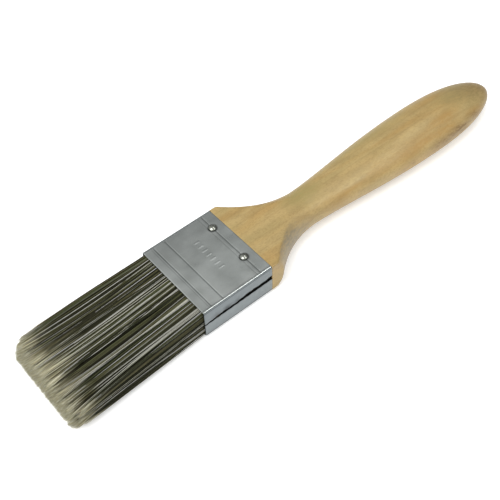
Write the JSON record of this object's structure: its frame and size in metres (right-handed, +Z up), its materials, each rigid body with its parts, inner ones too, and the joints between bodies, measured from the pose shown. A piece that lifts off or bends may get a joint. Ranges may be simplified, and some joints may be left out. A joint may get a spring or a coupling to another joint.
{
  "type": "flat paint brush",
  "caption": "Flat wall paint brush: lacquered wooden handle, folded steel ferrule with pins, and synthetic filament that bends at the mouth of the ferrule.",
  "frame": {"origin": "under the middle of the brush, level with its lowest point when it lies on its back face", "axes": "+X from the filament tips to the end of the handle, +Y across the width towards the plain narrow side of the ferrule, +Z up through the front broad face"},
  "size_m": [0.242, 0.042, 0.0166],
  "materials": {
    "lacquered_wood": "clear satin lacquer over pale straight-grained wood",
    "ferrule_steel": "satin tin-plated sheet",
    "pin_steel": "polished",
    "setting_resin": "cured amber resin",
    "spacer_wood": "raw sawn",
    "filament": "drawn filament in mixed dark, brown, grey and silver with pale flagged tips"
  },
  "bodies": {
    "brush": {"handle": "lacquered_wood", "ferrule": "ferrule_steel", "ferrule_pins": "pin_steel", "resin_plug": "setting_resin", "front_spacer": "spacer_wood", "back_spacer": "spacer_wood", "front_filament_root": "filament", "middle_filament_root": "filament", "back_filament_root": "filament"},
    "bristles": {"front_filament": "filament", "middle_filament": "filament", "back_filament": "filament"}
  },
  "joints": [
    {"name": "bristle_flex", "type": "hinge", "parent": "brush", "child": "bristles", "pos_m": [-0.067, 0, 0.0083], "axis": [0, 1, 0], "range_deg": [-35, 35], "stiffness_Nm_per_rad": 0.8}
  ]
}
